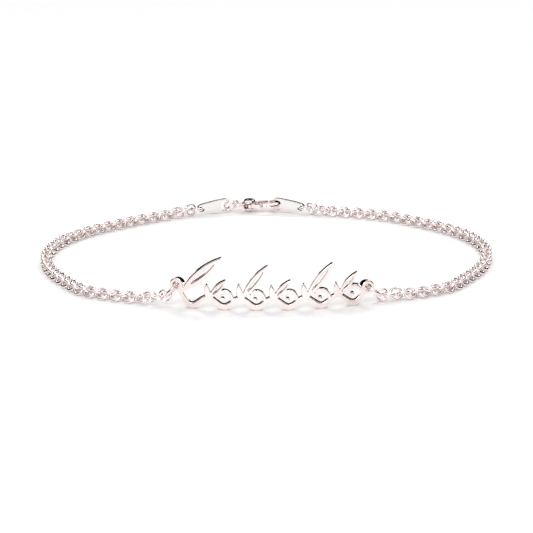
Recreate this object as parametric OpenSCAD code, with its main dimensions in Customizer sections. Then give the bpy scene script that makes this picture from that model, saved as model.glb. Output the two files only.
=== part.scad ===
// Nameplate bracelet, fastened, lying on a surface as a loop.
// X runs along the plate, Y from the plate to the clasp, Z up. Millimetres.
// The origin is on the surface, under the middle of the loop's box.

/* [Loop] */
// Width of the loop, from chain middle to chain middle
loop_w = 64; // [58:0.5:76]
// Depth of the loop, from the plate's middle to the clasp's middle
loop_d = 56; // [52:0.5:66]

/* [Chain] */
// Radius of a round link, to the middle of its wire
link_r = 0.8; // [0.76:0.01:0.95]
// Thickness of a link's wire
link_wire = 0.42; // [0.32:0.01:0.44]
// Play between two linked wires when the chain lies straight
link_play = 0.12; // [0.11:0.01:0.2]
// Length of chain over which a raised end comes down to the surface
lift_run = 7; // [4:0.5:12]

/* [Plate] */
// Length of the plate, from eyelet middle to eyelet middle
plate_l = 26.6; // [24:0.2:32]
// Thickness of the plate
plate_t = 1; // [0.8:0.05:1.2]
// Radius of the plate's bend, to its middle
plate_bend = 35; // [30:1:45]
// How far the plate's middle lies to the right of the loop's
plate_shift = 0.8; // [0:0.1:1.5]
// Height of the tallest leaf's tip
leaf_top = 7.4; // [6.6:0.1:9]
// Width of the tallest leaf
leaf_w = 1.6; // [1.3:0.05:1.9]
// Number of bowls that the stem hangs in
bowls = 6; // [6:1:6]
// Height of the stem's crests between the eyelets
crest_z = 1.7; // [1.5:0.05:2]
// Width of the stem at its crests
stem_thin = 0.55; // [0.45:0.05:0.8]
// Width of the stem in the middle of a bowl
stem_wide = 0.8; // [0.7:0.05:1]
// Radius at which a curl leaves the stem
curl_r = 1.45; // [1.3:0.05:1.5]
// Width of a curl
curl_w = 0.5; // [0.45:0.05:0.6]

/* [Eyelets] */
// Play of the jump ring's wire in an eyelet
eyelet_play = 0.25; // [0.2:0.01:0.35]
// Width of metal round an eyelet's hole
eyelet_rim = 0.5; // [0.4:0.05:0.7]
// Height of the left eyelet's middle
eyelet_z_left = 3.2; // [2.8:0.1:3.5]
// Height of the right eyelet's middle
eyelet_z_right = 2.4; // [2.2:0.1:3]

/* [Jump rings] */
// Radius of a jump ring, to the middle of its wire
jump_r = 1.2; // [1.15:0.05:1.5]
// Thickness of a jump ring's wire
jump_wire = 0.44; // [0.4:0.02:0.5]
// Height by which the left ring holds the chain off the surface
hold_left = 0.35; // [0:0.05:0.6]
// Height by which the right ring holds the chain off the surface
hold_right = 0; // [0:0.05:0.6]

/* [End tags] */
// Length of an end tag, from hole middle to hole middle
tag_l = 3.8; // [2.6:0.1:4]
// Thickness of an end tag
tag_t = 0.6; // [0.3:0.05:0.65]
// Play of the hook in a tag's wide hole
hook_play = 0.32; // [0.3:0.01:0.38]
// Width of metal round the wide hole
tag_wide_rim = 0.35; // [0.3:0.05:0.5]
// Play of a link in a tag's narrow hole
link_hole_play = 0.25; // [0.2:0.01:0.28]
// Width of metal round the narrow hole
tag_narrow_rim = 0.2; // [0.18:0.02:0.26]
// Height by which a tag's narrow end lies lower than its wide end
tag_drop = 0.1; // [0:0.02:0.16]
// Angle by which each tag turns towards its chain
tag_turn = 21; // [15:1:35]
// Angle by which the ring at the left tag turns the same way
ring_turn = 18; // [10:1:20]

/* [Clasp] */
// Length of the clasp, from its eye's middle to its hook's middle
clasp_l = 6.2; // [6.2:0.05:7.5]
// Radius of the hook's bend, to its middle
hook_r = 1.7; // [1.6:0.05:1.9]
// Thickness of the hook at its bend
hook_wire = 0.86; // [0.76:0.02:0.92]
// Thickness of the clasp's body
body_t = 1.5; // [1.4:0.05:1.9]
// Play of the small ring in the eye
eye_play = 0.32; // [0.28:0.01:0.4]
// Thickness of the eye's wire
eye_wire = 0.46; // [0.36:0.02:0.5]
// Radius of the ring between tag and eye, to its middle
clasp_ring_r = 1.12; // [1.1:0.01:1.3]
// Thickness of that ring's wire
clasp_ring_wire = 0.34; // [0.3:0.02:0.38]
// Thickness of the lever in its slot
lever_t = 0.6; // [0.5:0.02:0.7]
// Radius of the pin that the lever turns on
pin_r = 0.24; // [0.2:0.01:0.28]
// Running clearance round the pin
pin_gap = 0.03; // [0.02:0.01:0.05]
// Clearance beside the lever and at its tip
lever_gap = 0.08; // [0.06:0.01:0.12]

/* [Hidden] */
$fn = 48;

// Colour of the metal
gold = "#e9bdae";

// The chain's way round the right side, plate to clasp, chosen by hand.
// Columns: across, as a share of half the loop's width; back from the plate, as a share of its depth.
ROUTE = [
    [0.765, 0.130],
    [0.880, 0.225],
    [0.965, 0.340],
    [1.000, 0.465],
    [0.970, 0.590],
    [0.885, 0.695],
    [0.745, 0.790],
    [0.540, 0.885],
];

// Sprays of leaves on the stem's crests, left to right; the first has no small leaf.
// Columns: length of the open leaf, as a share of its top; lean to the right in degrees; width, as a
// share of the widest; length of the small leaf; its lean; the spray's place right of the crest.
SPRAYS = [
    [1.05, 48, 1.00, 0.00, 0, 0.60],
    [0.50, 42, 0.62, 0.28, -6, 0],
    [0.84, 38, 0.80, 0.30, -6, 0],
    [0.50, 42, 0.62, 0.28, -6, 0],
    [0.84, 38, 0.80, 0.30, -6, 0],
    [0.58, 40, 0.66, 0.28, -6, 0],
];

// Holes and the metal round them
eyelet_hole_r = jump_wire / 2 + eyelet_play;
eyelet_r = eyelet_hole_r + eyelet_rim;
tag_wide_hole_r = hook_wire / 2 + hook_play;
tag_wide_r = tag_wide_hole_r + tag_wide_rim;
tag_narrow_hole_r = link_wire / 2 + link_hole_play;
tag_narrow_r = tag_narrow_hole_r + tag_narrow_rim;
eye_r = clasp_ring_wire / 2 + eye_play + eye_wire / 2;

// Where the plate and the clasp stand, so that the whole is centred on the origin
whole_d = plate_t / 2 + loop_d + hook_r + hook_wire / 2;
plate_y = (plate_t - whole_d) / 2;
bend_y = plate_y + plate_bend;
clasp_y = plate_y + loop_d;
clasp_z = tag_wide_r;
eye_share = 0.69;
clasp_x = -eye_share * clasp_l;

// Eyelets on the plate's bend; side is -1 at the left and 1 at the right
function bend_turn(x) = x / plate_bend * 180 / PI;
function eyelet_turn(side) = bend_turn(plate_shift + side * plate_l / 2);
function eyelet_z(side) = side < 0 ? eyelet_z_left : eyelet_z_right;
function on_bend(turn, z) = [plate_bend * sin(turn), bend_y - plate_bend * cos(turn), z];
function outward(side) = side * [cos(eyelet_turn(side)), sin(eyelet_turn(side)), 0];

// A jump ring slants from its eyelet down to the chain, whose first link stands upright
upright_z = link_r + link_wire / 2;
function jump_low_z(side) = upright_z + (side < 0 ? hold_left : hold_right);
function jump_drop(side) = asin((eyelet_z(side) - jump_low_z(side)) / (2 * jump_r));
function jump_way(side) = outward(side) * cos(jump_drop(side)) + [0, 0, -sin(jump_drop(side))];
function jump_mid(side) = on_bend(eyelet_turn(side), eyelet_z(side)) + jump_way(side) * jump_r;
function jump_end(side) = jump_mid(side) + jump_way(side) * jump_r;

// Holes of the tags: the left one is on the small ring, the right one where the hook's bend faces it
function turned(side, turn) = [side * cos(turn), -sin(turn), 0];
function tag_way(side) = turned(side, tag_turn);
function tag_wide_at(side) = [clasp_x, clasp_y, clasp_z] + (side < 0
    ? turned(side, ring_turn) * 2 * clasp_ring_r
    : [clasp_l - hook_r, 0, 0] + tag_way(side) * hook_r);
tag_run = sqrt(tag_l * tag_l - tag_drop * tag_drop);
function tag_narrow_at(side) = tag_wide_at(side) + tag_way(side) * tag_run - [0, 0, tag_drop];

// Middles of a chain's first and last links
link_pitch = 2 * link_r - link_wire - link_play;
function chain_start(side) = jump_end(side) + outward(side) * (link_r - link_pitch / 2);
function chain_stop(side) = tag_narrow_at(side) + tag_way(side) * link_r;

// Smooth curve through points, short of the first and the last, which only give its direction
curve_steps = 16;
function between(a, b, c, d, t) =
    b + 0.5 * t * (c - a + t * (2 * a - 5 * b + 4 * c - d + t * (3 * b - a - 3 * c + d)));
function smooth(p) = concat(
    [for (i = [1 : len(p) - 3], k = [0 : curve_steps - 1])
        between(p[i - 1], p[i], p[i + 1], p[i + 2], k / curve_steps)],
    [p[len(p) - 2]]);
function flat(p) = [p.x, p.y];
function heading(turn) = [cos(turn), sin(turn)];
function step(p, i) = i + 1 < len(p) ? norm(p[i + 1] - p[i]) : 0;
function runs(p) = [for (i = 0, run = 0; i < len(p); run = run + step(p, i), i = i + 1) run];

// A chain's way in plan, which leaves the plate level and meets the tag in line
lead = 10;  // how far off lie the points that give the way's two ends their direction
function chain_way(side) = let (
    start = flat(chain_start(side)),
    stop = flat(chain_stop(side)),
    mid = [for (row = ROUTE) [side * row[0] * loop_w / 2, plate_y + row[1] * loop_d]])
    smooth(concat([start - [side * lead, 0], start], mid, [stop, stop - lead * flat(tag_way(side))]));

// Round wire ring lying flat about the origin
module ring(r, wire) rotate_extrude() translate([r, 0]) circle(d = wire);

// Height of a chain's middle at rest on the surface, its links leaning 45 degrees to both sides
lean = 45;
rest_z = link_r * sin(lean) + link_wire / 2;

// Chain of round links. The end links turn upright at the ring and level at the tag.
turning = 4;  // links over which each end turns
module chain(side) {
    way = chain_way(side);
    run = runs(way);
    whole = run[len(run) - 1];
    count = round(whole / link_pitch);
    pitch = whole / count;
    last = len(way) - 1;
    xs = [for (i = [0 : last]) [run[i], way[i].x]];
    ys = [for (i = [0 : last]) [run[i], way[i].y]];
    rise_first = chain_start(side).z - rest_z;
    rise_last = chain_stop(side).z - rest_z;
    function fade(share) = max(0, 1 - share);
    function height(s) = rest_z + rise_first * pow(fade(s / lift_run), 2)
        + rise_last * pow(fade((whole - s) / lift_run), 2);
    function at(s) = [lookup(s, xs), lookup(s, ys), height(s)];
    function leaning(k) = k % 2 == 0 ? lean : -lean;
    function roll(k) = leaning(k) + (90 - lean) * fade(k / turning)
        - leaning(count) * fade((count - k) / turning);
    color(gold)
    for (k = [0 : count]) {
        s = k * pitch;
        ahead = at(min(whole, s + pitch / 2)) - at(max(0, s - pitch / 2));
        low = link_r * abs(sin(roll(k))) + link_wire / 2;
        translate([at(s).x, at(s).y, max(at(s).z, low)])
            rotate([roll(k), -atan2(ahead.z, norm(flat(ahead))), atan2(ahead.y, ahead.x)])
                ring(link_r, link_wire);
    }
}

// Jump ring between an eyelet and the chain, square to the plate
module jump_ring(side) {
    color(gold)
    translate(jump_mid(side)) rotate([0, side * jump_drop(side), eyelet_turn(side)])
        ring(jump_r, jump_wire);
}

// The stem runs low from bowl to bowl and rises at both ends to the eyelets; share runs from 0 to 1
function end_rise(share, z) = (z - crest_z) * pow(max(0, 1 - share * bowls), 2);
function crest_at(share) = crest_z + end_rise(share, eyelet_z_left) + end_rise(1 - share, eyelet_z_right);
function crested(share) = (1 + cos(360 * bowls * share)) / 2;
function stem_x(share) = plate_l * (share - 0.5);
function stem_z(share) =
    stem_wide / 2 * (1 - crested(share)) + crest_at(share) * crested(share);
function stem_width(share) = stem_wide + (stem_thin - stem_wide) * crested(share);

// Band along a line, from rows of x, y and width, with round ends
module band(rows) {
    last = len(rows) - 1;
    function way(i) = let (d = flat(rows[min(last, i + 1)] - rows[max(0, i - 1)])) d / norm(d);
    function edge(i, s) = flat(rows[i]) + s * rows[i].z / 2 * [-way(i).y, way(i).x];
    polygon(concat([for (i = [0 : last]) edge(i, 1)], [for (i = [last : -1 : 0]) edge(i, -1)]));
    for (i = [0, last]) translate(flat(rows[i])) circle(d = rows[i].z);
}

module stem() {
    steps = bowls * 20;
    band([for (k = [0 : steps]) let (t = k / steps) [stem_x(t), stem_z(t), stem_width(t)]]);
}

// Curl that leaves the stem in a bowl's right flank and winds in to a bead
curl_from = -30;
curl_turn = 300;
curl_shrink = 0.22;
module curl(bowl) {
    steps = 30;
    mid_share = (bowl + 0.5) / bowls;
    start_share = mid_share + (curl_r * cos(curl_from) - 0.15) / plate_l;
    mid = [stem_x(start_share), stem_z(start_share)] - curl_r * heading(curl_from);
    function at(t) = let (turn = curl_from + curl_turn * t)
        mid + curl_r * pow(curl_shrink, t) * heading(turn);
    band([for (k = [0 : steps]) let (t = k / steps) [at(t).x, at(t).y, curl_w * (0.8 + 0.4 * sin(180 * t))]]);
    translate(at(1)) circle(d = curl_w * 1.2);
}

// Pointed shape of two arcs about the origin, upright
module lens(l, w) {
    arc_r = (l * l + w * w) / (4 * w);
    intersection() {
        translate([arc_r - w / 2, 0]) circle(r = arc_r);
        translate([w / 2 - arc_r, 0]) circle(r = arc_r);
    }
}

// Leaf that stands on the origin
module leaf(l, w) translate([0, l / 2]) lens(l, w);

// Leaf with a slit cut through it
slit_share = 0.27;
module open_leaf(l, w) {
    difference() {
        leaf(l, w);
        translate([0, 0.54 * l]) lens(0.58 * l, slit_share * w);
    }
}

// Leaves on a crest: an open one and, past the first crest, a small one
module spray(crest) {
    row = SPRAYS[crest];
    share = crest / bowls + row[5] / plate_l;
    root = [stem_x(share), stem_z(share) - stem_thin * 0.4];
    wide = row[2] * leaf_w;
    translate(root) rotate(-row[1]) open_leaf(row[0] * leaf_top, wide);
    if (row[3] > 0) translate(root) rotate(-row[4]) leaf(row[3] * leaf_top, leaf_w * 0.52);
}

// The plate's pattern, flat, about the plate's middle
module scrollwork() {
    stem();
    for (k = [0 : bowls - 1]) spray(k);
    for (k = [1 : bowls - 1]) curl(k);
}

// Curved wall that the plate is cut from
module bent_wall() {
    tall = leaf_top + 2;
    translate([0, bend_y, -1]) difference() {
        cylinder(r = plate_bend + plate_t / 2, h = tall);
        translate([0, 0, -1]) cylinder(r = plate_bend - plate_t / 2, h = tall + 2);
    }
}

// Round bar square to the plate at an eyelet
module eyelet_bar(side, r) {
    turn = eyelet_turn(side);
    translate(on_bend(turn, eyelet_z(side))) rotate([90, 0, turn])
        cylinder(r = r, h = 4 * plate_t, center = true);
}

module nameplate() {
    color(gold)
    difference() {
        intersection() {
            bent_wall();
            union() {
                translate([plate_bend * sin(bend_turn(plate_shift)), plate_y + plate_l / 2, 0])
                    rotate([90, 0, 0]) linear_extrude(height = plate_l) scrollwork();
                for (side = [-1, 1]) eyelet_bar(side, eyelet_r);
            }
        }
        for (side = [-1, 1]) eyelet_bar(side, eyelet_hole_r);
    }
}

// Flat shape between two circles of different radius
module taper(a, ra, b, rb) {
    way = b - a;
    spread = acos((ra - rb) / norm(way));
    line = atan2(way.y, way.x);
    function rim(p, r, turn) = p + r * heading(line + turn);
    translate(a) circle(r = ra);
    translate(b) circle(r = rb);
    polygon([rim(a, ra, spread), rim(a, ra, -spread), rim(b, rb, -spread), rim(b, rb, spread)]);
}

// Flat tapered tag standing on its edge, with a hole at each end
module end_tag(side) {
    way = tag_way(side);
    narrow = [tag_run, -tag_drop];
    color(gold)
    translate(tag_wide_at(side)) rotate([90, 0, atan2(way.y, way.x)])
        linear_extrude(height = tag_t, center = true) difference() {
            taper([0, 0], tag_wide_r, narrow, tag_narrow_r);
            circle(r = tag_wide_hole_r);
            translate(narrow) circle(r = tag_narrow_hole_r);
        }
}

// Places in the clasp's own plan, from its eye's middle; the near side is the lever's
hook_mid = [clasp_l - hook_r, 0];
hook_half = hook_wire / 2;
pivot = [0.25 * clasp_l, -0.62];
heel = [0.28 * clasp_l, 0.2];
heel_r = 1.05;
neck_r = 0.68;
tip = hook_mid - [0.55, hook_r - 0.06];

// Lever: its boss and the cheeks outside it, its end, and its tab from the pivot
boss_rim = 0.26;
cheek_rim = 0.4;
lever_r = pin_r + pin_gap + boss_rim;
lever_end_r = 0.27;
tab = [0.25, -0.85];
tab_r = 0.28;
open_heading = 32;
function toward(a, b) = (b - a) / norm(b - a);
lever_end = tip - toward(pivot, tip) * (hook_half + lever_end_r + lever_gap);

// Round bar of changing thickness between two points of the clasp's plan
module bar(a, ra, b, rb) {
    way = b - a;
    translate([a.x, a.y, 0]) rotate([0, 90, atan2(way.y, way.x)])
        cylinder(r1 = ra, r2 = rb, h = norm(way));
}

// Ball about a place of the clasp's plan, cut flat at both faces of the body
module flattened(place, r) {
    translate([place.x, place.y, 0]) intersection() {
        sphere(r = r);
        cylinder(r = 2 * r, h = body_t, center = true);
    }
}

module at_clasp() translate([clasp_x, clasp_y, clasp_z]) children();

module pin_bore() translate([pivot.x, pivot.y, -body_t]) cylinder(r = pin_r + pin_gap, h = 2 * body_t);

// Space in which the lever turns: round its boss, and from its tab to full open
module lever_room() {
    reach = tip.x - pivot.x - hook_half;
    room = lever_r + lever_gap;
    translate(pivot) circle(r = room);
    translate(pivot) polygon([[-room, 0], [-room, -reach], [reach, -reach], reach * heading(open_heading),
        2 * room * heading(open_heading + 18)]);
}

module clasp_body() {
    slot = lever_t + 2 * lever_gap;
    color(gold)
    at_clasp() difference() {
        union() {
            ring(eye_r, eye_wire);
            bar([eye_r, 0], eye_wire * 0.45, heel, neck_r);
            flattened(heel, heel_r);
            flattened(pivot, lever_r + cheek_rim);
            bar(heel + [0, 0.2], body_t * 0.42, hook_mid + [0.1, hook_r], hook_half * 0.98);
            translate([hook_mid.x, hook_mid.y, 0]) rotate([0, 0, -90]) rotate_extrude(angle = 180)
                translate([hook_r, 0]) circle(r = hook_half);
            bar(hook_mid + [0.1, -hook_r], hook_half * 0.98, tip, hook_half * 0.8);
            translate([tip.x, tip.y, 0]) rotate([0, 0, 180]) sphere(r = hook_half * 0.97);
        }
        translate([0, 0, -slot / 2]) linear_extrude(height = slot) lever_room();
        pin_bore();
    }
}

// Trigger that closes the hook, with a tab for the thumb
module clasp_lever() {
    color(gold)
    at_clasp() difference() {
        linear_extrude(height = lever_t, center = true) {
            taper(pivot, lever_r, lever_end, lever_end_r);
            taper(pivot, lever_r * 0.8, pivot + tab, tab_r);
        }
        pin_bore();
    }
}

module clasp_pin() {
    color(gold) at_clasp() translate([pivot.x, pivot.y, 0])
        cylinder(r = pin_r, h = body_t, center = true);
}

// Small ring between the left tag and the eye, half way between level and upright, its near side high
module clasp_ring() {
    color(gold)
    translate([clasp_x, clasp_y, clasp_z] + turned(-1, ring_turn) * clasp_ring_r)
        rotate([-45, 0, ring_turn]) ring(clasp_ring_r, clasp_ring_wire);
}

module jump_ring_left() jump_ring(-1);
module jump_ring_right() jump_ring(1);
module chain_left() chain(-1);
module chain_right() chain(1);
module end_tag_left() end_tag(-1);
module end_tag_right() end_tag(1);

nameplate();
jump_ring_left();
jump_ring_right();
chain_left();
chain_right();
end_tag_left();
end_tag_right();
clasp_ring();
clasp_body();
clasp_lever();
clasp_pin();
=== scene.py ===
"""Nameplate bracelet lying on a white table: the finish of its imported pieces, and the studio"""

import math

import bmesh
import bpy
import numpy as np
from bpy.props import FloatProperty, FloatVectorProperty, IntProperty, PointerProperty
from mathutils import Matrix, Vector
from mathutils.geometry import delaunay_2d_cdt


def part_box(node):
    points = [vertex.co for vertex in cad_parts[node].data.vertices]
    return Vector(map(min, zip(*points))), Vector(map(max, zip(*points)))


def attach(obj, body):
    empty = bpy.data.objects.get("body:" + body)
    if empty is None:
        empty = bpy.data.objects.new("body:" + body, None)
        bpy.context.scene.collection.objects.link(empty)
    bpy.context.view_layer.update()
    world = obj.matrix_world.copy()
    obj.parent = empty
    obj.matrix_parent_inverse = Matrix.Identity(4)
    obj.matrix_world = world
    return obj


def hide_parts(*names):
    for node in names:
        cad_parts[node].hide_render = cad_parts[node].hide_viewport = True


bl_info = {
    "name": "Nameplate Bracelet",
    "version": (1, 0, 0),
    "blender": (4, 5, 0),
    "location": "3D View > Sidebar > Bracelet",
    "description": "Finishes a fine chain bracelet with a pierced plate, and lights it",
    "category": "Add Mesh",
}

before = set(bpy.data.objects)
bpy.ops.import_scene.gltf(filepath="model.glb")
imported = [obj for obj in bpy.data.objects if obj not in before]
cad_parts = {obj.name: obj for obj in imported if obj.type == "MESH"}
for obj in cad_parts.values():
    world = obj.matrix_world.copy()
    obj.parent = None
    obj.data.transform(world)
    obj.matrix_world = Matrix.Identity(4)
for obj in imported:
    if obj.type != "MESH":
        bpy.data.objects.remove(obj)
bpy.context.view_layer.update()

MM = 0.001
BODY = "bracelet"
LEVER = "lever"


# Settings

class MetalSettings(bpy.types.PropertyGroup):
    """Colour and polish of the rose gold"""

    tint: FloatVectorProperty(
        name="Tint", description="Colour of the polished plating", subtype="COLOR",
        size=3, min=0, max=1, default=(0.95, 0.83, 0.805))
    deep: FloatVectorProperty(
        name="Deep tint", description="Colour where the plating lies a little thicker", subtype="COLOR",
        size=3, min=0, max=1, default=(0.91, 0.775, 0.745))
    polish: FloatProperty(
        name="Polish", description="Roughness where the polish is brightest", subtype="FACTOR",
        min=0, max=1, default=0.05)
    haze: FloatProperty(
        name="Haze", description="Roughness that handling adds in patches", subtype="FACTOR",
        min=0, max=1, default=0.08)


class PlateSettings(bpy.types.PropertyGroup):
    """Edges of the flat pieces"""

    bend: FloatProperty(
        name="Bend", description="Radius of the plate's bend, to its middle", subtype="DISTANCE",
        min=0.02, max=0.1, default=35 * MM)
    thick: FloatProperty(
        name="Thickness", description="Thickness of the plate", subtype="DISTANCE",
        min=0.2 * MM, max=3 * MM, default=MM)
    edge: FloatProperty(
        name="Plate edge", description="Radius of the plate's polished edges", subtype="DISTANCE",
        min=0.02 * MM, max=0.3 * MM, default=0.13 * MM)
    tag_edge: FloatProperty(
        name="Tag edge", description="Radius of the edges of the tags and the trigger", subtype="DISTANCE",
        min=0.02 * MM, max=0.15 * MM, default=0.07 * MM)
    spacing: FloatProperty(
        name="Spacing", description="Length of one stretch of an outline", subtype="DISTANCE",
        min=0.04 * MM, max=0.3 * MM, default=0.09 * MM)


class ChainSettings(bpy.types.PropertyGroup):
    """Shape of the chain's links"""

    steps: IntProperty(
        name="Steps", description="Stretches round a link", min=12, max=48, default=28)
    sides: IntProperty(
        name="Sides", description="Sides of a link's wire", min=6, max=16, default=10)
    wobble: FloatProperty(
        name="Wobble", description="Most that a link leans out of line", subtype="ANGLE",
        min=0, max=math.radians(6), default=math.radians(1.5))
    seed: IntProperty(
        name="Seed", description="Which of the possible wobbles the links take", min=0, default=4)


class ClaspSettings(bpy.types.PropertyGroup):
    """Casting of the clasp's body"""

    grain: FloatProperty(
        name="Grain", description="Size of the casting's finest form", subtype="DISTANCE",
        min=0.03 * MM, max=0.1 * MM, default=0.035 * MM)
    softening: IntProperty(
        name="Softening", description="Rounds of smoothing of the casting", min=0, max=30, default=14)


class StageSettings(bpy.types.PropertyGroup):
    """Table, studio light and camera"""

    floor_radius: FloatProperty(
        name="Floor radius", description="Radius of the white table", subtype="DISTANCE",
        min=0.5, max=10, default=6)
    tent: FloatProperty(
        name="Tent", description="Brightness of the white tent round the object", min=0, max=4, default=0.9)
    key: FloatProperty(
        name="Key light", description="Power of the soft box over the front, in watts",
        min=0, max=500, default=36)
    rim: FloatProperty(
        name="Rim light", description="Power of the soft box behind, in watts",
        min=0, max=500, default=32)
    distance: FloatProperty(
        name="Camera distance", description="From the camera to the middle of the loop",
        subtype="DISTANCE", min=0.2, max=2, default=0.425)
    elevation: FloatProperty(
        name="Camera elevation", description="Height of the camera over the table, seen from the loop",
        subtype="ANGLE", min=0, max=math.radians(89), default=math.radians(14.9))
    tilt: FloatProperty(
        name="Camera tilt", description="How far the camera looks below the middle of the loop",
        subtype="ANGLE", min=-0.1, max=0.1, default=math.radians(0.18))
    roll: FloatProperty(
        name="Camera roll", description="Turn of the camera about its line of sight",
        subtype="ANGLE", min=-0.1, max=0.1, default=-0.010)
    lens: FloatProperty(
        name="Lens", description="Focal length on a 36 mm sensor, in millimetres",
        min=20, max=400, default=198)


SETTINGS = {
    "bracelet_metal": MetalSettings,
    "bracelet_plate": PlateSettings,
    "bracelet_chain": ChainSettings,
    "bracelet_clasp": ClaspSettings,
    "bracelet_stage": StageSettings,
}


# Shader maths

class Socket:
    """An output of a shader tree, which adds Math nodes when it is used in an expression"""

    def __init__(self, shader, output):
        self.shader = shader
        self.output = output

    def math(self, operation, first, second):
        return self.shader.node("ShaderNodeMath", {"operation": operation}, {0: first, 1: second})

    def __add__(self, other):
        return self.math("ADD", self, other)

    def __mul__(self, other):
        return self.math("MULTIPLY", self, other)

    __radd__ = __add__
    __rmul__ = __mul__


class Shader:
    """A node tree of a material or the world, to which one method adds every node"""

    def __init__(self, owner):
        owner.use_nodes = True
        self.owner = owner
        self.tree = owner.node_tree
        self.tree.nodes.clear()

    def node(self, kind, settings, inputs, output=0):
        made = self.tree.nodes.new(kind)
        for key, value in settings.items():
            if key == "stops":
                self.set_stops(made.color_ramp.elements, value)
            else:
                setattr(made, key, value)
        for key, value in inputs.items():
            if isinstance(value, Socket):
                self.tree.links.new(value.output, made.inputs[key])
            else:
                made.inputs[key].default_value = value
        return Socket(self, made.outputs[output]) if len(made.outputs) else None

    @staticmethod
    def set_stops(elements, stops):
        while len(elements) < len(stops):
            elements.new(1)
        for element, (place, shade) in zip(elements, stops):
            element.position = place
            element.color = (shade, shade, shade, 1)

    def noise(self, place, scale, detail=2):
        return self.node("ShaderNodeTexNoise", {}, {"Vector": place, "Scale": scale, "Detail": detail})

    def ramp(self, value, *stops):
        return self.node("ShaderNodeValToRGB", {"stops": stops}, {0: value})

    def colours(self, share, first, second):
        return self.node("ShaderNodeMix", {"data_type": "RGBA"},
                         {0: share, 6: (*first, 1), 7: (*second, 1)}, output=2)


# Patches of thicker plating, ripples and scratches: waves per metre, and the noise's detail
CLOUD = (380, 3)
RIPPLE = (900, 1)
SCRATCH_WAVES = (900, 14000, 14000)
SCRATCH_DETAIL = 2
SCRATCH_TURN = (0.5, 0.3, 0.9)
# Noise values between which a patch or a scratch comes in
PATCH_STOPS = ((0.35, 0), (0.72, 1))
MARK_STOPS = ((0.5, 0), (0.78, 1))
# What a scratch adds to the roughness, what each adds to the relief, and the relief's height
MARK_ROUGHNESS = 0.05
RIPPLE_RELIEF = 0.9
SCRATCH_RELIEF = 0.05
RELIEF = 2.5e-6


def paler(colour, share):
    """A colour mixed with white"""
    return tuple(shade + (1 - shade) * share for shade in colour)


def rose_gold(name, wave=1.0, rub=1.0, polish=0.0, pale=0.0):
    """Polished plated silver, its ripples and fine scratches scaled by wave and rub"""
    metal = bpy.context.scene.bracelet_metal
    shader = Shader(bpy.data.materials.new(name))
    shader.owner.diffuse_color = (*metal.tint, 1)
    place = shader.node("ShaderNodeTexCoord", {}, {}, output="Object")
    cloud = shader.noise(place, *CLOUD)
    ripple = shader.noise(place, *RIPPLE)
    across = shader.node("ShaderNodeMapping", {},
                         {"Vector": place, "Rotation": SCRATCH_TURN, "Scale": SCRATCH_WAVES})
    scratch = shader.noise(across, 1, SCRATCH_DETAIL)
    patch = shader.ramp(cloud, *PATCH_STOPS)
    marks = shader.ramp(scratch, *MARK_STOPS)
    rough = metal.polish + polish + metal.haze * patch + MARK_ROUGHNESS * rub * marks
    height = RIPPLE_RELIEF * wave * ripple + SCRATCH_RELIEF * rub * scratch
    bump = shader.node("ShaderNodeBump", {}, {"Strength": 1.0, "Distance": RELIEF, "Height": height})
    surface = shader.node("ShaderNodeBsdfPrincipled", {}, {
        "Base Color": shader.colours(patch, paler(metal.tint, pale), paler(metal.deep, pale)),
        "Metallic": 1.0, "Roughness": rough, "Normal": bump})
    shader.node("ShaderNodeOutputMaterial", {}, {"Surface": surface})
    return shader.owner


# Meshes

# Points nearer than MERGE are one; a face within CLOSE of a slab's side lies on it
MERGE = 0.0002 * MM
CLOSE = 0.004 * MM
ON_RIM = CLOSE / 10


def merged(node):
    """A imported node's mesh with its loose triangles joined"""
    work = bmesh.new()
    work.from_mesh(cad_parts[node].data)
    bmesh.ops.remove_doubles(work, verts=work.verts, dist=MERGE)
    return work


def corners_of(node):
    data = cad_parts[node].data
    flat = np.empty(len(data.vertices) * 3)
    data.vertices.foreach_get("co", flat)
    return flat.reshape(-1, 3)


def add_piece(name, mesh, material, slot, body, *nodes):
    """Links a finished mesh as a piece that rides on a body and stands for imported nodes"""
    mesh.materials.clear()
    mesh.materials.append(material)
    mesh.shade_smooth()
    piece = bpy.data.objects.new(name, mesh)
    bpy.context.scene.collection.objects.link(piece)
    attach(piece, body)
    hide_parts(*nodes)


def evaluated_mesh(host):
    """Plain mesh of an object with its modifiers applied; the object goes"""
    bpy.context.view_layer.update()
    evaluated = host.evaluated_get(bpy.context.evaluated_depsgraph_get())
    mesh = bpy.data.meshes.new_from_object(evaluated)
    bpy.data.objects.remove(host)
    return mesh


def finish_node(node, material):
    """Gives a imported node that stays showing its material"""
    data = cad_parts[node].data
    data.materials.clear()
    data.materials.append(material)
    data.shade_smooth()


# Flat pieces with polished edges

class Slab:
    """Coordinates of a flat piece: along it, up it, and out from its middle"""

    def __init__(self, node, level=False):
        points = corners_of(node)
        self.up = np.array((0, 1, 0) if level else (0, 0, 1), float)
        if level:
            self.along = np.array((1.0, 0, 0))
        else:
            plan = points[:, :2] - points[:, :2].mean(0)
            self.along = np.append(np.linalg.eigh(plan.T @ plan)[1][:, 1], 0)
        self.out = np.cross(self.along, self.up)
        depths = points @ self.out
        self.middle = (depths.max() + depths.min()) / 2
        self.half = (depths.max() - depths.min()) / 2

    def flat(self, point):
        return point @ self.along, point @ self.up

    def depth(self, point):
        return point @ self.out - self.middle

    def place(self, flat, depth):
        return flat[0] * self.along + flat[1] * self.up + (self.middle + depth) * self.out

    def facing(self, flat, sideways, forward):
        """Direction that leans sideways in the face's plane and forward out of it"""
        return sideways[0] * self.along + sideways[1] * self.up + forward * self.out


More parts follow.
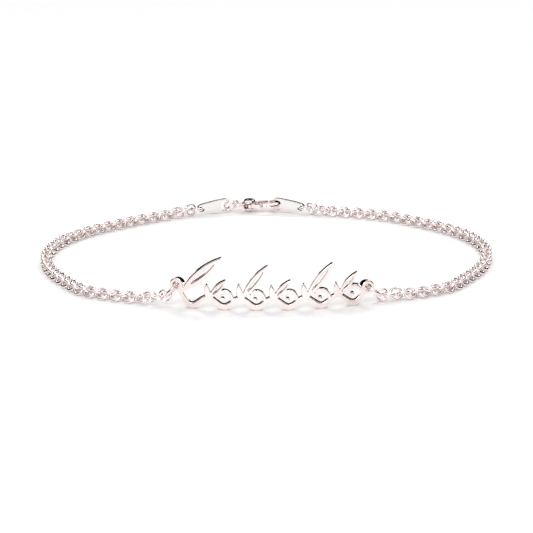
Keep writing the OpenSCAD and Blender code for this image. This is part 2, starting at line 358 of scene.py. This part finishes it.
class Bend:
    """Coordinates of the curved plate: across, up, and out from its middle"""

    def __init__(self, node, radius, thick):
        self.radius = radius
        self.half = thick / 2
        self.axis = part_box(node)[0][1] + radius + self.half

    def flat(self, point):
        return point[0], point[2]

    def depth(self, point):
        return math.hypot(point[0], self.axis - point[1]) - self.radius

    def place(self, flat, depth):
        reach = self.radius + depth
        return np.array((flat[0], self.axis - math.sqrt(reach ** 2 - flat[0] ** 2), flat[1]))

    def facing(self, flat, sideways, forward):
        across = flat[0] / self.radius
        outward = np.array((across, -math.sqrt(1 - across ** 2), 0))
        return np.array((sideways[0], 0, sideways[1])) + forward * outward


def outlines(work, shape, side):
    """Closed outlines of a piece's face on one side, with the metal on their left"""
    skin = {f for f in work.faces
            if all(abs(shape.depth(np.array(v.co)) - side * shape.half) < CLOSE for v in f.verts)}
    after = {}
    for face in skin:
        for loop in face.loops:
            if sum(other in skin for other in loop.edge.link_faces) == 1:
                ends = (loop.vert, loop.link_loop_next.vert)
                start, end = ends if side > 0 else ends[::-1]
                after[start] = end
    rims = []
    while after:
        start, end = after.popitem()
        rim = [start, end]
        while rim[-1] is not rim[0]:
            rim.append(after.pop(rim[-1]))
        rims.append(np.array([shape.flat(np.array(v.co)) for v in rim[:-1]]))
    return rims


def corner_places(rim, sharp=math.radians(25)):
    """Indices of the points at which an outline turns sharply"""
    ahead = np.roll(rim, -1, 0) - rim
    behind = rim - np.roll(rim, 1, 0)
    swing = behind[:, 0] * ahead[:, 1] - behind[:, 1] * ahead[:, 0]
    turn = np.arctan2(swing, (behind * ahead).sum(1))
    return np.flatnonzero(np.abs(turn) > sharp)


def spans(rim, start):
    """Stretches of an outline from corner to corner, from the corner or point nearest a place"""
    found = corner_places(rim)
    if not len(found):
        found = np.array([rim[:, 1].argmax()])
    first = found[np.linalg.norm(rim[found] - start, axis=1).argmin()]
    found = np.sort((found - first) % len(rim))
    turned = np.roll(rim, -first, 0)
    closed = np.vstack([turned, turned[:1]])
    return [closed[a:b + 1] for a, b in zip(found, [*found[1:], len(rim)])]


def curved(points, count):
    """Points evenly spaced on a smooth curve through the given points"""
    gaps = np.linalg.norm(np.diff(points, axis=0), axis=1)
    run = np.append(0, np.cumsum(gaps))
    slopes = np.diff(points, axis=0) / gaps[:, None]
    both = (gaps[:-1] + gaps[1:])[:, None]
    inner = (slopes[:-1] * gaps[1:, None] + slopes[1:] * gaps[:-1, None]) / both
    tangents = np.vstack([slopes[:1], inner, slopes[-1:]])
    at = np.linspace(0, run[-1], count + 1)[:-1]
    k = np.clip(np.searchsorted(run, at, side="right") - 1, 0, len(gaps) - 1)
    h = gaps[k][:, None]
    t = ((at - run[k]) / gaps[k])[:, None]
    return ((2 * t ** 3 - 3 * t ** 2 + 1) * points[k] + (t ** 3 - 2 * t ** 2 + t) * h * tangents[k]
            + (3 * t ** 2 - 2 * t ** 3) * points[k + 1] + (t ** 3 - t ** 2) * h * tangents[k + 1])


def softened(rim, rounds=2):
    """An outline with its corners rubbed round"""
    for _ in range(rounds):
        rim = rim / 2 + (np.roll(rim, 1, 0) + np.roll(rim, -1, 0)) / 4
    return rim


def unlikeness(rim, other):
    """How far two outlines differ in place and size"""
    apart = np.linalg.norm(rim.mean(0) - other.mean(0))
    return apart + abs(np.ptp(rim, axis=0) - np.ptp(other, axis=0)).sum()


def paired_outlines(work, shape, spacing):
    """Outlines of both faces of a piece, point for point"""
    fronts, backs = outlines(work, shape, 1), outlines(work, shape, -1)
    if len(fronts) != len(backs):
        raise ValueError(f"a piece's two faces have {len(fronts)} and {len(backs)} outlines")
    pairs = []
    for front in fronts:
        back = min(backs, key=lambda rim: unlikeness(rim, front))
        corners = corner_places(front)
        front_spans = spans(front, front[corners[0]] if len(corners) else front[0])
        back_spans = spans(back, front_spans[0][0])
        if len(front_spans) != len(back_spans):
            raise ValueError(f"two faces have {len(front_spans)} and {len(back_spans)} corners")
        lengths = [np.linalg.norm(np.diff(s, axis=0), axis=1).sum() for s in front_spans]
        counts = [max(2, round(length / spacing)) for length in lengths]
        pairs.append([softened(np.vstack([curved(s, n) for s, n in zip(of_side, counts)]))
                      for of_side in (front_spans, back_spans)])
    return pairs


# Points that nearness measures at a time
BATCH = 400


def nearness(points, rims):
    """Way from each point to the nearest outline, and whether the point lies in the metal"""
    starts = np.vstack(rims)
    steps = np.vstack([np.roll(rim, -1, 0) - rim for rim in rims])
    ways = np.empty((len(points), 2))
    inside = np.empty(len(points), bool)
    for k in range(0, len(points), BATCH):
        some = points[k:k + BATCH, None, :] - starts
        share = np.clip((some * steps).sum(2) / (steps ** 2).sum(1), 0, 1)
        offsets = share[..., None] * steps - some
        nearest = (offsets ** 2).sum(2).argmin(1)
        ways[k:k + BATCH] = offsets[np.arange(len(nearest)), nearest]
        rises = (some[..., 1] >= 0) != (some[..., 1] - steps[:, 1] >= 0)
        with np.errstate(divide="ignore", invalid="ignore"):
            left = some[..., 0] < some[..., 1] / steps[:, 1] * steps[:, 0]
        inside[k:k + BATCH] = (rises & left).sum(1) % 2 == 1
    return ways, inside


# Rows of points inside an outline, as shares of the edge's radius
RING_SHARES = (0.07, 0.29, 0.62, 1.0, 1.35)
# A row's point is dropped where another outline comes nearer than this share of its way in
ROW_ROOM = 0.9
MITRE_LIMIT = 2
GRID_STEPS = 3
# Kind of triangulation, and the distance in millimetres at which its points are one
WITHIN_OUTLINES = 2
TOLERANCE = 1e-7


def inward(rim):
    """Directions from an outline's points into the metal, mitred at corners"""
    ahead = np.roll(rim, -1, 0) - rim
    ahead /= np.linalg.norm(ahead, axis=1)[:, None]
    both = ahead + np.roll(ahead, 1, 0)
    return np.column_stack([-both[:, 1], both[:, 0]]) / (both ** 2).sum(1)[:, None] * 2


def filled(rims, edge, spacing):
    """Points and triangles of a face between outlines, with rows of points along its rounded edge"""
    rows = []
    for rim in rims:
        ways = inward(rim)
        reach = np.linalg.norm(ways, axis=1)[:, None]
        for share in RING_SHARES:
            row = rim + ways * np.minimum(1, MITRE_LIMIT / reach) * edge * share
            back, inside = nearness(row, rims)
            rows.append(row[inside & (np.linalg.norm(back, axis=1) > ROW_ROOM * share * edge)])
    low, high = np.vstack(rims).min(0), np.vstack(rims).max(0)
    lines = [np.arange(a, b, GRID_STEPS * spacing) for a, b in zip(low, high)]
    grid = np.stack(np.meshgrid(*lines), -1).reshape(-1, 2)
    back, inside = nearness(grid, rims)
    rows.append(grid[inside & (np.linalg.norm(back, axis=1) > edge * RING_SHARES[-1] + spacing)])
    points = np.vstack([*rims, *rows])
    links, first = [], 0
    for rim in rims:
        links += [(first + k, first + (k + 1) % len(rim)) for k in range(len(rim))]
        first += len(rim)
    given = [Vector(p / MM) for p in points]
    found = delaunay_2d_cdt(given, links, [], WITHIN_OUTLINES, TOLERANCE)
    points = np.array([tuple(p) for p in found[0]]) * MM
    triangles = np.array(found[2])
    _, inside = nearness(points[triangles].mean(1), rims)
    return points, triangles[inside].tolist()


def polished_slab(name, node, shape, edge, spacing):
    """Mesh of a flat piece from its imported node, with rounded edges and a normal for each point"""
    work = merged(node)
    pairs = paired_outlines(work, shape, spacing)
    work.free()
    made = bmesh.new()
    facing = made.verts.layers.float_vector.new("facing")
    for side in (1, -1):
        rims = [pair[0 if side > 0 else 1] for pair in pairs]
        points, triangles = filled(rims, edge, spacing)
        starts, walls = np.vstack(rims), np.vstack([-inward(rim) for rim in rims])
        back, _ = nearness(points, rims)
        verts = []
        for point, way in zip(points, back):
            near = np.linalg.norm(way)
            on_rim = near < ON_RIM
            near = 0 if on_rim else near
            sideways = walls[((starts - point) ** 2).sum(1).argmin()] if on_rim else way
            lean = 1 - min(near, edge) / edge
            forward = math.sqrt(1 - lean ** 2)
            vert = made.verts.new(shape.place(point, side * (shape.half - edge * (1 - forward))))
            vert[facing] = shape.facing(point, sideways / np.linalg.norm(sideways) * lean, side * forward)
            verts.append(vert)
        for triangle in triangles:
            made.faces.new([verts[k] for k in (triangle if side > 0 else triangle[::-1])])
    for front, rear in pairs:
        top = [made.verts.new(shape.place(p, shape.half - edge)) for p in front]
        low = [made.verts.new(shape.place(p, edge - shape.half)) for p in rear]
        for rim, row in ((front, top), (rear, low)):
            for point, way, vert in zip(rim, inward(rim), row):
                vert[facing] = shape.facing(point, -way / np.linalg.norm(way), 0)
        for k in range(len(top)):
            after = (k + 1) % len(top)
            made.faces.new((top[k], low[k], low[after], top[after]))
    bmesh.ops.remove_doubles(made, verts=made.verts, dist=MERGE)
    normals = [vert[facing].normalized() for vert in made.verts]
    made.verts.layers.float_vector.remove(facing)
    mesh = bpy.data.meshes.new(name)
    made.to_mesh(mesh)
    made.free()
    mesh.shade_smooth()
    mesh.normals_split_custom_set_from_vertices(normals)
    return mesh


# Chain

def loose_parts(node):
    """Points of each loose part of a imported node"""
    work = merged(node)
    seen = set()
    parts = []
    for first in work.verts:
        if first in seen:
            continue
        seen.add(first)
        part = [first]
        for vert in part:
            for edge in vert.link_edges:
                other = edge.other_vert(vert)
                if other not in seen:
                    seen.add(other)
                    part.append(other)
        parts.append(np.array([v.co for v in part]))
    work.free()
    return parts


def link_places(node):
    """Middle, turn, radius and wire of each round link of a packed chain"""
    parts = loose_parts(node)
    middles = np.array([part.mean(0) for part in parts])
    turns = []
    for part, middle in zip(parts, middles):
        normal = Vector(np.linalg.eigh(np.cov((part - middle).T))[1][:, 0])
        gaps = np.linalg.norm(middles - middle, axis=1)
        toward = Vector(middles[gaps.argsort()[1]] - middle)
        along = (toward - toward.project(normal)).normalized()
        turns.append(Matrix((along, normal.cross(along), normal)).transposed().to_quaternion())
    reach = np.linalg.norm(parts[0] - middles[0], axis=1).max()
    wire = 2 * np.abs((parts[0] - middles[0]) @ np.array(turns[0].to_matrix().col[2])).max()
    return middles, turns, reach - wire / 2, wire


class Tree:
    """A Geometry Nodes tree with named inputs"""

    def __init__(self, name, inputs):
        self.tree = bpy.data.node_groups.new(name, "GeometryNodeTree")
        self.tree.interface.new_socket("Geometry", in_out="INPUT", socket_type="NodeSocketGeometry")
        self.tree.interface.new_socket("Geometry", in_out="OUTPUT", socket_type="NodeSocketGeometry")
        for label, kind in inputs.items():
            self.tree.interface.new_socket(label, in_out="INPUT", socket_type="NodeSocket" + kind)
        self.inputs = self.tree.nodes.new("NodeGroupInput").outputs

    def node(self, kind, settings, inputs):
        made = self.tree.nodes.new(kind)
        for key, value in settings.items():
            setattr(made, key, value)
        for key, value in inputs.items():
            if isinstance(value, bpy.types.NodeSocket):
                self.tree.links.new(value, made.inputs[key])
            else:
                made.inputs[key].default_value = value
        return made.outputs

    def finish(self, geometry):
        self.node("NodeGroupOutput", {}, {"Geometry": geometry})
        return self.tree


def link_tree():
    """Tree that puts a round wire link on each point, turned as the point says, and wobbled"""
    made = Tree("round_links", {
        "Radius": "Float", "Wire": "Float", "Steps": "Int", "Sides": "Int", "Wobble": "Float",
        "Seed": "Int", "Material": "Material"})
    given = made.inputs
    ring = made.node("GeometryNodeCurvePrimitiveCircle", {},
                     {"Radius": given["Radius"], "Resolution": given["Steps"]})
    half = made.node("ShaderNodeMath", {"operation": "MULTIPLY"}, {0: given["Wire"], 1: 0.5})
    wire = made.node("GeometryNodeCurvePrimitiveCircle", {},
                     {"Radius": half[0], "Resolution": given["Sides"]})
    link = made.node("GeometryNodeCurveToMesh", {},
                     {"Curve": ring["Curve"], "Profile Curve": wire["Curve"]})
    turn = made.node("GeometryNodeInputNamedAttribute", {"data_type": "QUATERNION"}, {"Name": "turn"})
    least = made.node("ShaderNodeMath", {"operation": "MULTIPLY"}, {0: given["Wobble"], 1: -1})
    lean = made.node("FunctionNodeRandomValue", {"data_type": "FLOAT_VECTOR"},
                     {"Min": least[0], "Max": given["Wobble"], "Seed": given["Seed"]})
    wobble = made.node("FunctionNodeEulerToRotation", {}, {0: lean[0]})
    turned = made.node("FunctionNodeRotateRotation", {"rotation_space": "LOCAL"},
                       {"Rotation": turn["Attribute"], "Rotate By": wobble[0]})
    placed = made.node("GeometryNodeInstanceOnPoints", {},
                       {"Points": given["Geometry"], "Instance": link["Mesh"], "Rotation": turned[0]})
    real = made.node("GeometryNodeRealizeInstances", {}, {"Geometry": placed[0]})
    finished = made.node("GeometryNodeSetMaterial", {},
                         {"Geometry": real[0], "Material": given["Material"]})
    return made.finish(finished[0])


def grown(name, points, tree, values):
    """Plain mesh that a tree grows on points"""
    host = bpy.data.objects.new(name + "_points", points)
    bpy.context.scene.collection.objects.link(host)
    modifier = host.modifiers.new("grow", "NODES")
    modifier.node_group = tree
    for item in tree.interface.items_tree:
        if item.name in values:
            modifier[item.identifier] = values[item.name]
    mesh = evaluated_mesh(host)
    mesh.name = name
    return mesh


class BRACELET_OT_chains(bpy.types.Operator):
    """Both stretches of chain, link by link"""

    bl_idname = "bracelet.chains"
    bl_label = "Chains"

    def execute(self, context):
        settings = context.scene.bracelet_chain
        material = rose_gold("chain_wire", wave=0.4, rub=0.4, polish=0.03, pale=0.25)
        tree = link_tree()
        for side in ("left", "right"):
            node = "chain_" + side
            middles, turns, radius, wire = link_places(node)
            points = bpy.data.meshes.new(node + "_points")
            points.from_pydata(middles.tolist(), [], [])
            turn = points.attributes.new("turn", "QUATERNION", "POINT")
            turn.data.foreach_set("value", np.array(turns, np.float32).ravel())
            mesh = grown(node + "_links", points, tree, {
                "Radius": radius, "Wire": wire, "Steps": settings.steps, "Sides": settings.sides,
                "Wobble": settings.wobble, "Seed": settings.seed, "Material": material})
            add_piece(node + "_links", mesh, material, "chain", BODY, node)
        return {"FINISHED"}


# Other pieces

class BRACELET_OT_nameplate(bpy.types.Operator):
    """Curved, pierced plate with polished edges"""

    bl_idname = "bracelet.nameplate"
    bl_label = "Nameplate"

    def execute(self, context):
        settings = context.scene.bracelet_plate
        shape = Bend("nameplate", settings.bend, settings.thick)
        mesh = polished_slab("polished_plate", "nameplate", shape, settings.edge, settings.spacing)
        add_piece("polished_plate", mesh, rose_gold("plate_polish", pale=0.2), "plate", BODY, "nameplate")
        return {"FINISHED"}


class BRACELET_OT_rings(bpy.types.Operator):
    """Jump rings at the plate and the small ring at the clasp"""

    bl_idname = "bracelet.rings"
    bl_label = "Rings"

    def execute(self, context):
        material = rose_gold("ring_wire", wave=0.5, rub=0.6)
        for node in ("jump_ring_left", "jump_ring_right", "clasp_ring"):
            finish_node(node, material)
        return {"FINISHED"}


class BRACELET_OT_tags(bpy.types.Operator):
    """Flat tapered tags between the chain and the clasp"""

    bl_idname = "bracelet.tags"
    bl_label = "End tags"

    def execute(self, context):
        settings = context.scene.bracelet_plate
        # The tags' rose gold is mixed well toward white. This lighter copy of the same plating is painted
        # light: it stands in for the bright reflection that their faces catch.
        material = rose_gold("tag_painted_lighter", rub=1.5, pale=0.55)
        for side in ("left", "right"):
            node = "end_tag_" + side
            name = "soft_tag_" + side
            mesh = polished_slab(name, node, Slab(node), settings.tag_edge, settings.spacing)
            add_piece(name, mesh, material, "tags", BODY, node)
        return {"FINISHED"}


def cast(node, settings):
    """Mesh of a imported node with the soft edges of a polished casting"""
    work = merged(node)
    rough = bpy.data.meshes.new("clasp_rough")
    work.to_mesh(rough)
    work.free()
    host = bpy.data.objects.new("clasp_rough", rough)
    bpy.context.scene.collection.objects.link(host)
    remesh = host.modifiers.new("grain", "REMESH")
    remesh.mode = "VOXEL"
    remesh.voxel_size = settings.grain
    smooth = host.modifiers.new("soften", "SMOOTH")
    smooth.iterations = settings.softening
    smooth.factor = 0.5
    return evaluated_mesh(host)


class BRACELET_OT_clasp(bpy.types.Operator):
    """Lobster clasp: cast body, trigger and rivet"""

    bl_idname = "bracelet.clasp"
    bl_label = "Clasp"

    def execute(self, context):
        material = rose_gold("clasp_casting", wave=1.2, rub=0.8)
        mesh = cast("clasp_body", context.scene.bracelet_clasp)
        add_piece("cast_clasp", mesh, material, "clasp", BODY, "clasp_body")
        edges = context.scene.bracelet_plate
        lever = polished_slab("trigger", "clasp_lever", Slab("clasp_lever", level=True),
                              edges.tag_edge, edges.spacing)
        add_piece("trigger", lever, material, "clasp", LEVER, "clasp_lever")
        finish_node("clasp_pin", material)
        return {"FINISHED"}


# Stage

# Black cards over the table, which only reflections see.
# Columns: name; from and to, as turns in degrees from straight behind, left negative; highest
# elevation in degrees.
CARDS = (
    ("card_left", -150, 0, 31),
    ("card_right", 0, 150, 31),
)
CARD_REACH = 4
CARD_FOOT = 2 * MM
CARD_STEPS = 12

# Soft boxes: place, and width and height of the box
KEY_BOX = ((-0.45, -2.7, 2.4), (1.5, 0.9))
RIM_BOX = ((0.3, 2.6, 2.05), (2.7, 0.9))

# Point that the camera is set out from, and the distances between which it sees
AIM = (0, -3.615 * MM, 0.75 * MM)
CLIP = (0.01, 20)


def table_top():
    """White board with a faint gloss"""
    shader = Shader(bpy.data.materials.new("white_table"))
    surface = shader.node("ShaderNodeBsdfPrincipled", {}, {
        "Base Color": (0.97, 0.97, 0.97, 1), "Roughness": 0.5, "Coat Weight": 0.4, "Coat Roughness": 0.25})
    shader.node("ShaderNodeOutputMaterial", {}, {"Surface": surface})
    return shader.owner


def dead_black(name):
    """Card that stays black, whatever light falls on it"""
    shader = Shader(bpy.data.materials.new(name))
    glow = shader.node("ShaderNodeEmission", {}, {"Strength": 0})
    shader.node("ShaderNodeOutputMaterial", {}, {"Surface": glow})
    return shader.owner


def add_staged(name, mesh, material):
    mesh.materials.append(material)
    made = bpy.data.objects.new(name, mesh)
    bpy.context.scene.collection.objects.link(made)
    return made


def add_card(name, start, end, high):
    """Upright bent card round the object"""
    top = CARD_REACH * math.tan(math.radians(high))
    verts = []
    for k in range(CARD_STEPS + 1):
        turn = math.radians(start + (end - start) * k / CARD_STEPS)
        for height in (0, top):
            verts.append((CARD_REACH * math.sin(turn), CARD_REACH * math.cos(turn),
                          height + CARD_FOOT))
    faces = [(2 * k, 2 * k + 1, 2 * k + 3, 2 * k + 2) for k in range(CARD_STEPS)]
    mesh = bpy.data.meshes.new(name)
    mesh.from_pydata(verts, [], faces)
    card = add_staged(name, mesh, dead_black(name))
    card.visible_camera = False
    card.visible_shadow = False
    card.visible_diffuse = False


def add_light(name, place, size, power):
    """Soft box that faces the object and isn't seen"""
    data = bpy.data.lights.new(name, "AREA")
    data.shape = "RECTANGLE"
    data.size, data.size_y = size
    data.energy = power
    lamp = bpy.data.objects.new(name, data)
    bpy.context.scene.collection.objects.link(lamp)
    lamp.location = place
    lamp.rotation_euler = (-Vector(place)).to_track_quat("-Z", "Y").to_euler()
    lamp.visible_camera = False


class BRACELET_OT_stage(bpy.types.Operator):
    """White table, studio light and camera"""

    bl_idname = "bracelet.stage"
    bl_label = "Stage"

    def execute(self, context):
        settings = context.scene.bracelet_stage
        self.add_floor(settings)
        self.add_sky(context.scene, settings)
        for row in CARDS:
            add_card(*row)
        add_light("key_box", *KEY_BOX, settings.key)
        add_light("rim_box", *RIM_BOX, settings.rim)
        self.add_camera(context.scene, settings)
        context.scene.view_settings.view_transform = "Standard"
        return {"FINISHED"}

    @staticmethod
    def add_floor(settings):
        made = bmesh.new()
        bmesh.ops.create_circle(made, cap_ends=True, segments=96, radius=settings.floor_radius)
        mesh = bpy.data.meshes.new("table")
        made.to_mesh(mesh)
        made.free()
        add_staged("table", mesh, table_top())

    @staticmethod
    def add_sky(scene, settings):
        scene.world = bpy.data.worlds.new("tent")
        shader = Shader(scene.world)
        light = shader.node("ShaderNodeBackground", {},
                            {"Color": (1, 1, 1, 1), "Strength": settings.tent})
        shader.node("ShaderNodeOutputWorld", {}, {"Surface": light})

    @staticmethod
    def add_camera(scene, settings):
        toward = Vector((0, math.cos(settings.elevation), -math.sin(settings.elevation)))
        camera = bpy.data.objects.new("camera", bpy.data.cameras.new("camera"))
        scene.collection.objects.link(camera)
        pitch = math.pi / 2 - settings.elevation - settings.tilt
        turn = Matrix.Rotation(pitch, 4, "X") @ Matrix.Rotation(settings.roll, 4, "Z")
        camera.matrix_world = Matrix.Translation(Vector(AIM) - settings.distance * toward) @ turn
        camera.data.lens = settings.lens
        camera.data.clip_start, camera.data.clip_end = CLIP
        scene.camera = camera


OPERATORS = (
    BRACELET_OT_stage, BRACELET_OT_nameplate, BRACELET_OT_chains, BRACELET_OT_rings, BRACELET_OT_tags,
    BRACELET_OT_clasp,
)


class BRACELET_PT_panel(bpy.types.Panel):
    """Lists the bracelet's pieces"""

    bl_label = "Bracelet"
    bl_idname = "BRACELET_PT_panel"
    bl_space_type = "VIEW_3D"
    bl_region_type = "UI"
    bl_category = "Bracelet"

    def draw(self, context):
        layout = self.layout
        for name, group in SETTINGS.items():
            box = layout.box()
            for prop in group.__annotations__:
                box.prop(getattr(context.scene, name), prop)
        for operator in OPERATORS:
            layout.operator(operator.bl_idname)


CLASSES = (*SETTINGS.values(), *OPERATORS, BRACELET_PT_panel)


def register():
    for cls in CLASSES:
        bpy.utils.register_class(cls)
    for name, group in SETTINGS.items():
        setattr(bpy.types.Scene, name, PointerProperty(type=group))


def unregister():
    for name in SETTINGS:
        delattr(bpy.types.Scene, name)
    for cls in reversed(CLASSES):
        bpy.utils.unregister_class(cls)


def main():
    register()
    bpy.ops.bracelet.stage()
    bpy.ops.bracelet.nameplate()
    bpy.ops.bracelet.chains()
    bpy.ops.bracelet.rings()
    bpy.ops.bracelet.tags()
    bpy.ops.bracelet.clasp()


if __name__ == "__main__":
    main()
